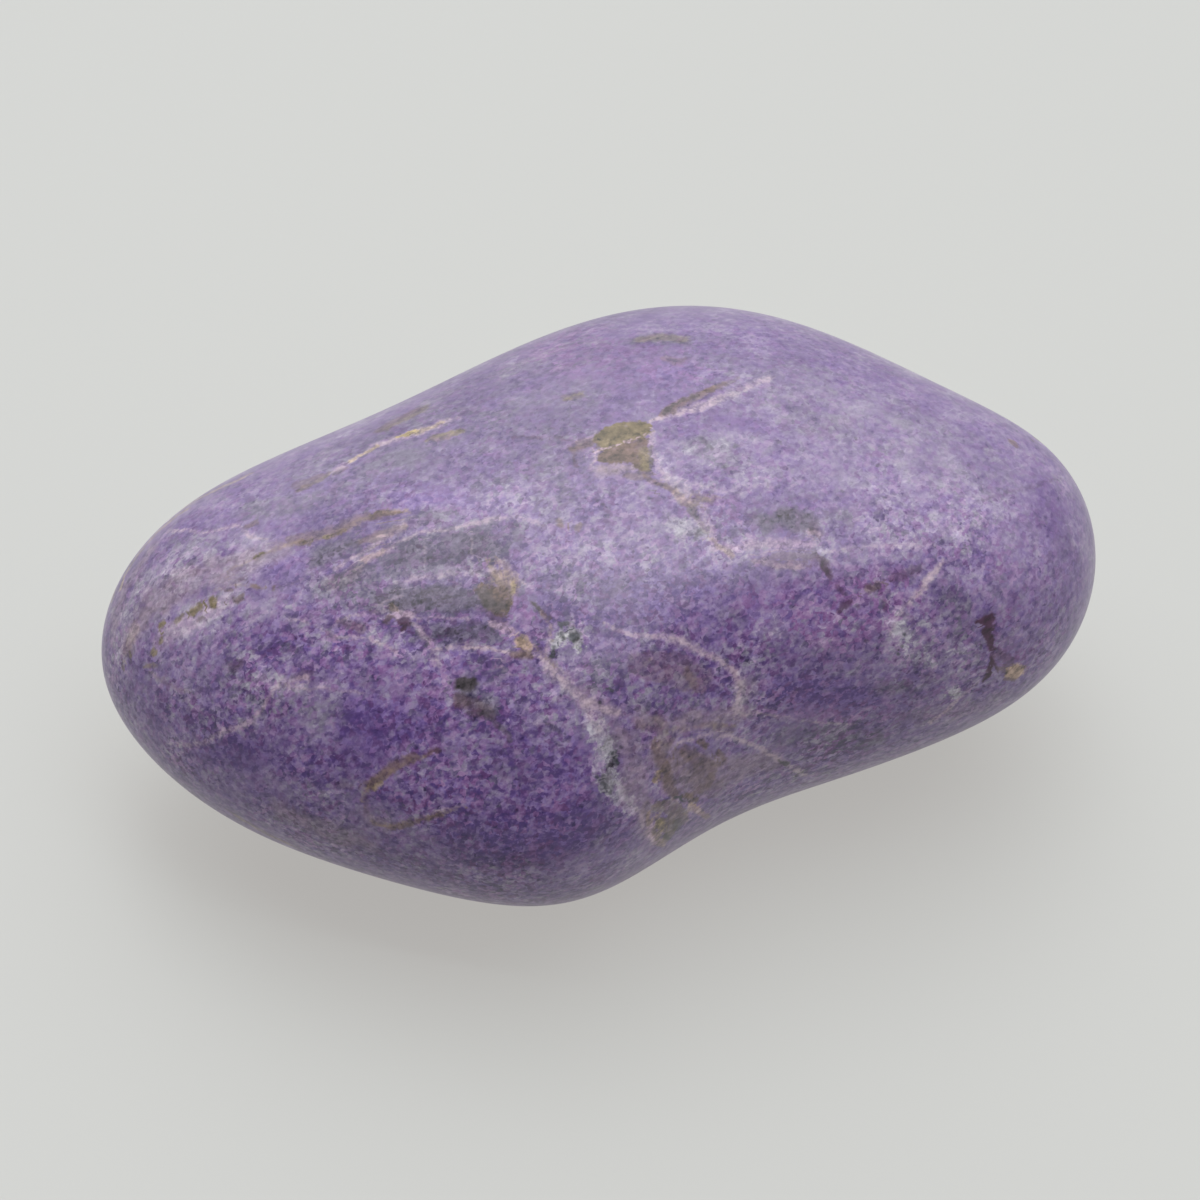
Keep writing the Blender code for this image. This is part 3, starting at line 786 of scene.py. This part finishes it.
# What lies on the sides that the photo doesn't show: how many of each family, how strong, how
# long and half how wide, the last two in millimetres. Paths start where the skin faces the
# camera by less than HIDDEN_FACING, and end where it does by more than SEEN_FACING.
HIDDEN_SEED = 41
HIDDEN_FACING = 0.02
SEEN_FACING = 0.12
HIDDEN_VEINS = (
    ("pale", 26, (0.4, 0.9), (1.5, 6.0), (0.04, 0.10)),
    ("tan", 12, (0.4, 0.9), (0.8, 3.0), (0.04, 0.10)),
    ("crack", 5, (0.5, 0.7), (1.5, 4.0), (0.03, 0.05)),
)
HIDDEN_PATCHES = (
    ("bloom", 22, (0.3, 0.7), (1.0, 5.0), (0.3, 0.9)),
    ("deep", 22, (0.4, 0.9), (1.0, 5.0), (0.4, 1.1)),
    ("slate", 16, (0.5, 1.0), (0.8, 4.0), (0.3, 0.8)),
    ("iris", 12, (0.5, 0.9), (1.0, 5.0), (0.4, 1.0)),
    ("magenta", 12, (0.4, 0.8), (1.0, 5.0), (0.4, 0.9)),
    ("pinkgrey", 6, (0.4, 0.6), (1.0, 4.0), (0.2, 0.4)),
    ("grey", 6, (0.4, 0.7), (0.5, 2.5), (0.2, 0.6)),
    ("milk", 6, (0.5, 0.9), (0.5, 2.5), (0.12, 0.3)),
    ("olive", 5, (0.6, 0.9), (0.5, 1.8), (0.12, 0.24)),
    ("olive", 20, (0.4, 0.8), (0.1, 0.8), (0.05, 0.12)),
    ("brown", 34, (0.4, 0.8), (0.1, 1.2), (0.06, 0.17)),
    ("maroon", 16, (0.4, 0.9), (0.0, 0.6), (0.05, 0.14)),
    ("speck", 26, (0.5, 1.0), (0.0, 0.2), (0.05, 0.13)),
)


def wander(target, place, facing, length, half):
    """A crooked path over the stone from this place, that keeps to its layers and stays hidden."""
    placed = []
    step = max(0.03, half * 0.2)
    heading = facing.cross(LAYERS_FACE).normalized() * random.choice((-1, 1))
    heading = Quaternion(facing, random.gauss(0, 0.35)) @ heading
    for _ in range(int(length / step) + 1):
        width = half * (1 + 0.4 * math.sin(len(placed) * step * 3.0))
        placed.append((place, width))
        heading = Quaternion(facing, random.gauss(0, 0.5 * math.sqrt(step))) @ heading
        place, facing, _, _ = target.find_nearest(place + heading * step * MM)
        heading = (heading - facing * heading.dot(facing)).normalized()
        if facing.dot(TO_CAMERA) > SEEN_FACING:
            break
    return placed


def mark_hidden(markings, target):
    """Strews the hidden sides with markings, more thickly where the corners lie far apart."""
    random.seed(HIDDEN_SEED)
    corners = markings.mesh.vertices
    hidden = [v for v in corners if v.normal.dot(TO_CAMERA) < HIDDEN_FACING]
    middle = sum((v.co for v in corners), Vector()) / len(corners)
    areas = [(v.co - middle).length_squared for v in hidden]
    for looks, add in ((HIDDEN_VEINS, markings.add_vein), (HIDDEN_PATCHES, markings.add)):
        for family, count, strengths, lengths, halves in looks:
            for _ in range(count):
                start = random.choices(hidden, areas)[0]
                drawn = [random.uniform(*span) for span in (strengths, lengths, halves)]
                placed = wander(target, start.co.copy(), start.normal.copy(), *drawn[1:])
                add(family, drawn[0], placed)


def marking_rows(table):
    """The family, strength and path of each line of a table that isn't a heading."""
    for line in table.strip().splitlines():
        if line.startswith("#"):
            continue
        looks, points = line.split(":")
        family, strength = looks.split()
        path = [tuple(float(part) for part in point.split(",")) for point in points.split()]
        yield family, float(strength), path


def mark(skin, target):
    markings = Markings(skin.data)
    for family, strength, path in marking_rows(VEINS):
        markings.add_vein(family, strength, on_stone(target, path, 1.0))
    for family, strength, path in marking_rows(PATCHES):
        widest = max(point[2] for point in path)
        markings.add(family, strength, on_stone(target, path, max(1.0, widest * 0.15)))
    mark_hidden(markings, target)
    markings.write()


# The stone's material


class Tree:
    """Short calls for the shader nodes that the stone's material is made of."""

    def __init__(self, tree):
        self.tree = tree
        self.tree.nodes.clear()

    def node(self, kind, **settings):
        node = self.tree.nodes.new(kind)
        for name, value in settings.items():
            setattr(node, name, value)
        return node

    def feed(self, socket, value):
        if isinstance(value, bpy.types.NodeSocket):
            self.tree.links.new(value, socket)
        elif isinstance(value, tuple) and socket.type == "RGBA":
            socket.default_value = (*value, 1.0)
        else:
            socket.default_value = value

    def math(self, operation, *values, clamp=False):
        node = self.node("ShaderNodeMath", operation=operation, use_clamp=clamp)
        for socket, value in zip(node.inputs, values):
            self.feed(socket, value)
        return node.outputs[0]

    def times(self, first, second, clamp=False):
        return self.math("MULTIPLY", first, second, clamp=clamp)

    def linear(self, value, slope, start):
        """The value times the slope, plus the start."""
        return self.math("MULTIPLY_ADD", value, slope, start)

    def vector(self, operation, *values, scale=None):
        node = self.node("ShaderNodeVectorMath", operation=operation)
        for socket, value in zip(node.inputs, values):
            self.feed(socket, value)
        if scale is not None:
            self.feed(node.inputs["Scale"], scale)
        out = "Value" if operation in ("LENGTH", "DOT_PRODUCT") else "Vector"
        return node.outputs[out]

    def split(self, vector):
        node = self.node("ShaderNodeSeparateXYZ")
        self.feed(node.inputs[0], vector)
        return node.outputs[0], node.outputs[1], node.outputs[2]

    def attribute(self, name):
        return self.node("ShaderNodeAttribute", attribute_name=name).outputs["Vector"]

    def texture(self, coords, scale, detail, roughness):
        node = self.node("ShaderNodeTexNoise")
        self.feed(node.inputs["Vector"], coords)
        node.inputs["Scale"].default_value = scale
        node.inputs["Detail"].default_value = detail
        node.inputs["Roughness"].default_value = roughness
        return node

    def noise(self, coords, scale, detail=2.0, roughness=0.5):
        """Noise about 0, mostly between -1 and 1. scale is in features per millimetre."""
        node = self.texture(coords, scale, detail, roughness)
        return self.linear(node.outputs[0], 4.0, -2.0)

    def noise_vector(self, coords, scale, detail=2.0, roughness=0.5):
        node = self.texture(coords, scale, detail, roughness)
        doubled = self.vector("SCALE", node.outputs[1], scale=4.0)
        return self.vector("SUBTRACT", doubled, (2.0, 2.0, 2.0))

    def cells(self, coords, scale):
        """Cells that fill the space: the distance to the middle of one, and its own colour."""
        node = self.node("ShaderNodeTexVoronoi")
        self.feed(node.inputs["Vector"], coords)
        node.inputs["Scale"].default_value = scale
        return node.outputs["Distance"], node.outputs["Color"]

    def between(self, value, low, high, smooth=True):
        """How far value has come from low to high, held between 0 and 1."""
        node = self.node("ShaderNodeMapRange")
        node.interpolation_type = "SMOOTHSTEP" if smooth else "LINEAR"
        for name, part in (("Value", value), ("From Min", low), ("From Max", high)):
            self.feed(node.inputs[name], part)
        return node.outputs["Result"]

    def mix(self, share, first, second):
        node = self.node("ShaderNodeMix", data_type="RGBA")
        self.feed(node.inputs[0], share)
        self.feed(node.inputs[6], first)
        self.feed(node.inputs[7], second)
        return node.outputs[2]

    def ramp(self, value, tones):
        node = self.node("ShaderNodeValToRGB")
        stops = node.color_ramp.elements
        while len(stops) < len(tones):
            stops.new(1.0)
        for stop, place, tone in zip(stops, RAMP_PLACES, tones):
            stop.position = place
            stop.color = (*tone, 1.0)
        self.feed(node.inputs["Fac"], value)
        return node.outputs["Color"]


# The tones of the plain stone from its darkest grains to its palest, at these places of a ramp,
# and the same where it leans to blue, to grey or to magenta.
RAMP_PLACES = (0.0, 0.3, 0.5, 0.72, 1.0)
VIOLET = (
    (0.026, 0.013, 0.068),
    (0.074, 0.042, 0.145),
    (0.158, 0.107, 0.244),
    (0.269, 0.211, 0.350),
    (0.506, 0.443, 0.580),
)
IRIS = (
    (0.029, 0.013, 0.092),
    (0.077, 0.039, 0.174),
    (0.159, 0.098, 0.286),
    (0.274, 0.199, 0.402),
    (0.500, 0.420, 0.610),
)
SLATE = (
    (0.021, 0.017, 0.044),
    (0.066, 0.052, 0.108),
    (0.141, 0.118, 0.188),
    (0.247, 0.221, 0.294),
    (0.468, 0.443, 0.508),
)
MAGENTA = (
    (0.041, 0.011, 0.064),
    (0.104, 0.039, 0.147),
    (0.202, 0.098, 0.258),
    (0.310, 0.199, 0.360),
    (0.535, 0.434, 0.592),
)

# The direction across the stone's layers, and the one its fibres run in. The grain is drawn
# out a little along the fibres, and the wisps lie in the layers.
LAYERS_FACE = Vector((0.42, -0.61, -0.67)).normalized()
FIBRE_PRESS = 1.8
FIBRES_RUN = Vector((0.848, 0.406, 0.341)).normalized()
GRAIN_DRAW = -0.15

# The colours of the families of patches and veins.
PATCH_TONES = {
    "pinkgrey": (0.215, 0.160, 0.210),
    "pink": (0.385, 0.272, 0.345),
    "pale_green": (0.335, 0.330, 0.345),
    "grey": (0.074, 0.058, 0.096),
    "tan": (0.290, 0.205, 0.165),
    "olive": (0.127, 0.098, 0.056),
    "gold": (0.320, 0.245, 0.125),
    "brown": (0.104, 0.066, 0.058),
    "maroon": (0.044, 0.014, 0.042),
    "umber": (0.052, 0.042, 0.052),
    "speck": (0.028, 0.032, 0.042),
}
VEIN_TONES = {
    "crack": (0.048, 0.026, 0.074),
    "tan": (0.205, 0.145, 0.105),
    "pale": (0.375, 0.287, 0.335),
}
DARK_GRAIN = (0.035, 0.038, 0.050)

# The families that also come as wide patches, in the order they lie over each other: how soft
# their edge is and how far it wanders, in millimetres, whether it wanders finely, and how much
# of the grain shows through.
WIDE_PATCHES = (
    ("pinkgrey", 0.30, 0.40, False, 0.5),
    ("pale_green", 0.10, 0.30, True, 0.9),
    ("pink", 0.12, 0.20, False, 0.6),
    ("grey", 0.15, 0.18, False, 1.2),
    ("olive", 0.05, 0.09, True, 0.5),
    ("brown", 0.08, 0.12, True, 0.6),
)

# A smooth polish, for reflections as soft as those in the photo.
POLISH_ROUGHNESS = 0.3
STONE_IOR = 1.53


def stone_material():
    material = bpy.data.materials.new("stichtite")
    material.use_nodes = True
    t = Tree(material.node_tree)
    place = t.node("ShaderNodeTexCoord").outputs["Object"]
    mm = t.vector("SCALE", place, scale=1 / MM)

    def scaled_along(direction, share):
        """The coordinates with the part along this direction made larger by the share."""
        along = t.vector("DOT_PRODUCT", mm, tuple(direction))
        pushed = t.vector("SCALE", tuple(direction), scale=t.times(along, share))
        return t.vector("ADD", mm, pushed)

    layered = scaled_along(FIBRES_RUN, GRAIN_DRAW)
    fibrous = scaled_along(LAYERS_FACE, FIBRE_PRESS)

    # plain stone
    cloud = t.noise(layered, 0.30, detail=1.0)
    grain = t.noise(layered, 3.8, roughness=0.75)
    shaking = t.vector("SCALE", t.noise_vector(mm, 5.0, detail=1.0), scale=0.065)
    shaken = t.vector("ADD", layered, shaking)
    crystal = t.split(t.cells(shaken, 6.0)[1])
    light = t.linear(crystal[0], 2.0, -1.0)
    pinkness = t.linear(crystal[1], 2.0, -1.0)
    fleck = t.linear(crystal[2], 2.0, -1.0)
    far, own = t.cells(shaken, 3.6)
    pick, size, _ = t.split(own)
    grit = t.between(far, t.linear(size, 0.16, 0.20), 0.1)
    grit = t.times(grit, t.linear(t.between(pick, 0.15, 0.45), -2.0, 0.9))
    tint = t.noise(layered, 2.2, roughness=0.85)
    drift = t.noise(mm, 0.8, detail=3.0, roughness=0.65)
    dust = t.noise(mm, 5.0, roughness=0.7)
    fibre = t.noise(fibrous, 3.2, detail=1.0, roughness=0.8)
    wisp_noise = t.noise(fibrous, 0.42, detail=3.0, roughness=0.65)
    wisp = t.between(t.math("ABSOLUTE", wisp_noise), 0.16, 0.0)
    wisp = t.times(wisp, t.between(drift, -0.3, 0.7))

    # the grain is calmer towards the back, and livelier in some places than in others
    depth = t.split(mm)[1]
    calm = t.linear(t.between(depth, -6.5, 4.0), -0.60, 1.10)
    lively = t.linear(t.noise(mm, 0.45, detail=1.0), 0.4, 1.0)
    calm = t.times(calm, lively)

    def soft_patch(name, softness, wander, wandering):
        """How much of a patch shows here, its edge moved to and fro by the wandering."""
        inside, strength, _ = t.split(t.attribute("patch_" + name))
        shifted = t.linear(wandering, wander, inside)
        return t.times(t.between(shifted, -softness, softness), strength)

    swell = t.linear(drift, 0.6, 1.0)
    # the tones: paler stone with painted light, deeper stone, and darker stone with painted shade
    bloom, deep, dim = t.split(t.vector("SCALE", t.attribute("tones_0"), scale=swell))
    magenta, iris, slate = t.split(t.vector("SCALE", t.attribute("tones_1"), scale=swell))
    milk = soft_patch("milk", 0.15, 0.3, dust)
    halo = soft_patch("halo", 0.10, 0.16, dust)

    def total(*terms):
        """The sum of each value times its share."""
        summed = 0.0
        for part, share in terms:
            summed = t.linear(part, share, summed)
        return summed

    texture = total((grain, 0.21), (light, 0.11), (fibre, 0.03), (grit, 0.19))
    texture = t.math("SMOOTH_MIN", texture, 0.24, 0.2)
    value = t.linear(texture, calm, 0.49)
    value = t.math("ADD", value, total((cloud, 0.05), (drift, 0.08), (wisp, 0.10)))
    # the first tone added here is partly paler stone and partly painted highlight and sheen; the
    # second one taken off in the next line is partly darker stone and partly painted shade
    value = t.math("ADD", value, total((bloom, 0.14), (halo, 0.15), (milk, 0.27)))
    value = t.math("ADD", value, total((deep, -0.13), (dim, -0.14), (slate, -0.075)))

    hue = t.linear(total((tint, 0.85), (pinkness, 0.38), (grain, -0.35)), calm, -0.1)
    hue = t.math("ADD", hue, total((drift, -0.3), (iris, 0.9), (deep, 0.4), (slate, -1.4)))
    hue = t.math("ADD", hue, total((bloom, -0.35), (halo, -0.5), (milk, -1.2)))
    hue = t.linear(t.between(depth, -3.0, 5.0), -0.22, hue)
    rosy = t.linear(magenta, 0.8, t.times(t.times(fleck, 0.65), calm))
    bluer = t.between(hue, 0.0, 1.2, smooth=False)
    colour = t.mix(bluer, t.ramp(value, VIOLET), t.ramp(value, IRIS))
    colour = t.mix(t.between(hue, 0.0, -1.2, smooth=False), colour, t.ramp(value, SLATE))
    colour = t.mix(t.between(rosy, 0.0, 1.0, smooth=False), colour, t.ramp(value, MAGENTA))

    # dark grains
    far, own = t.cells(shaken, 1.5)
    pick, size, _ = t.split(own)
    dot = t.between(far, t.linear(size, 0.10, 0.06), 0.03)
    dot = t.times(dot, t.between(pick, 0.62, 0.70))
    colour = t.mix(t.times(dot, 0.6), colour, DARK_GRAIN)

    # patches
    ragged = total((dust, 0.7), (drift, 0.7))
    mottle = t.noise(fibrous, 1.1, roughness=0.7)
    shade = total((grain, 0.8), (light, 0.35), (mottle, 0.5), (grit, 0.4))
    thin = t.linear(t.between(mottle, 0.9, -0.3), 0.6, 0.8)
    worn = t.times(thin, t.linear(t.between(tint, -0.6, 0.6), 0.5, 0.65))
    firm = t.linear(worn, 0.4, 0.65)
    for name, softness, wander, fine, kept in WIDE_PATCHES:
        share = soft_patch(name, softness, wander, ragged if fine else drift)
        grained = t.vector("SCALE", PATCH_TONES[name], scale=t.linear(shade, kept, 1.0))
        colour = t.mix(t.times(share, worn, clamp=True), colour, grained)

    # fine strokes: the veins first, then dashes and dots over them. looks gives where each kind
    # ends and is full, in half widths, how whole it is, and how much of the grain shows through
    wriggle = t.vector("SCALE", t.noise_vector(mm, 2.5, roughness=0.75), scale=0.09)
    broken = t.linear(t.between(grain, -0.7, 0.5), 0.65, 0.35)
    looks = (
        ("vein", 1.9, 0.1, broken, 0.35),
        ("blob", 1.35, 0.5, firm, 0.8),
        ("dot", 1.3, 0.4, 1.2, 0.8),
    )
    for layer, outer, inner, whole, kept in looks:
        away = t.vector("LENGTH", t.vector("ADD", t.attribute(layer + "_offset"), wriggle))
        outside, half, strength = t.split(t.attribute(layer + "_about"))
        near = t.math("LESS_THAN", outside, STROKE_GATE)
        edge = t.linear(half, t.linear(dust, 0.4, outer), 0.03)
        share = t.between(away, edge, t.times(half, inner))
        share = t.times(t.times(share, near), strength)
        tone = t.attribute(layer + "_tone")
        grained = t.vector("SCALE", tone, scale=t.linear(shade, kept, 1.0))
        colour = t.mix(t.times(share, whole, clamp=True), colour, grained)

    shader = t.node("ShaderNodeBsdfPrincipled")
    t.feed(shader.inputs["Base Color"], colour)
    shader.inputs["Roughness"].default_value = POLISH_ROUGHNESS
    shader.inputs["IOR"].default_value = STONE_IOR
    out = t.node("ShaderNodeOutputMaterial")
    t.tree.links.new(shader.outputs[0], out.inputs["Surface"])
    return material


# Floor, light and camera

# The floor glows a little, so that it stays as even as the photo's backdrop.
FLOOR_HALF = 0.6
FLOOR_TONE = (0.105, 0.119, 0.121, 1)
FLOOR_ROUGHNESS = 0.5
GLOW_TONE = (1.0, 0.97, 0.92, 1)
GLOW_STRENGTH = 0.42

# Soft boxes that face the stone: name, place, size, radiance and turn, in metres and degrees.
SOFT_BOXES = (
    ("ceiling", (0.02, 0.175, 0.303), (0.70, 0.50), 1.65, -14),
    ("overhead", (0.02, 0.02, 0.36), (0.60, 0.16), 1.9, -14),
    ("strip", (0.0, -0.05, 0.36), (0.50, 0.02), 8.0, -14),
    ("back panel", (0.0, 0.55, 0.16), (1.20, 0.35), 0.8, 0),
    ("right panel", (0.36, -0.04, 0.16), (0.35, 0.28), 1.0, 0),
    ("left panel", (-0.38, -0.02, 0.14), (0.30, 0.25), 0.9, 0),
)
WORLD_STRENGTH = 0.25


def add_floor():
    sheet = bmesh.new()
    bmesh.ops.create_grid(sheet, x_segments=1, y_segments=1, size=FLOOR_HALF)
    floor = add_shape("floor", sheet)
    material = bpy.data.materials.new("pale_floor")
    material.use_nodes = True
    shader = material.node_tree.nodes["Principled BSDF"]
    shader.inputs["Base Color"].default_value = FLOOR_TONE
    shader.inputs["Roughness"].default_value = FLOOR_ROUGHNESS
    shader.inputs["Emission Color"].default_value = GLOW_TONE
    shader.inputs["Emission Strength"].default_value = GLOW_STRENGTH
    floor.data.materials.append(material)


def add_soft_box(name, place, size, radiance, turn):
    light = bpy.data.lights.new(name, "AREA")
    light.shape = "RECTANGLE"
    light.size, light.size_y = size
    light.energy = math.pi * size[0] * size[1] * radiance
    lamp = add_object(name, light)
    lamp.location = place
    facing = (-Vector(place)).to_track_quat("-Z", "Y")
    lamp.rotation_euler = (facing @ Quaternion((0, 0, 1), math.radians(turn))).to_euler()


def add_light():
    world = bpy.data.worlds.new("studio")
    world.use_nodes = True
    background = world.node_tree.nodes["Background"]
    background.inputs["Color"].default_value = (1, 1, 1, 1)
    background.inputs["Strength"].default_value = WORLD_STRENGTH
    bpy.context.scene.world = world
    for soft_box in SOFT_BOXES:
        add_soft_box(*soft_box)


def add_camera():
    camera = bpy.data.cameras.new("camera")
    camera.sensor_width = SENSOR
    camera.lens = SENSOR * CAMERA_DISTANCE / FRAME_WIDTH
    camera.clip_start = 0.005
    eye = add_object("camera", camera)
    eye.location = EYE
    eye.rotation_euler = (math.pi / 2 - CAMERA_ELEVATION, 0, 0)
    bpy.context.scene.camera = eye


bpy.context.scene.view_settings.view_transform = "Standard"
add_camera()
add_floor()
add_light()
stone_target = smooth_target(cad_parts["stone"])
stone_skin = build_skin(stone_target)
mark(stone_skin, stone_target)
stone_skin.data.materials.append(stone_material())
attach(stone_skin, "root")
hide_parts("stone")
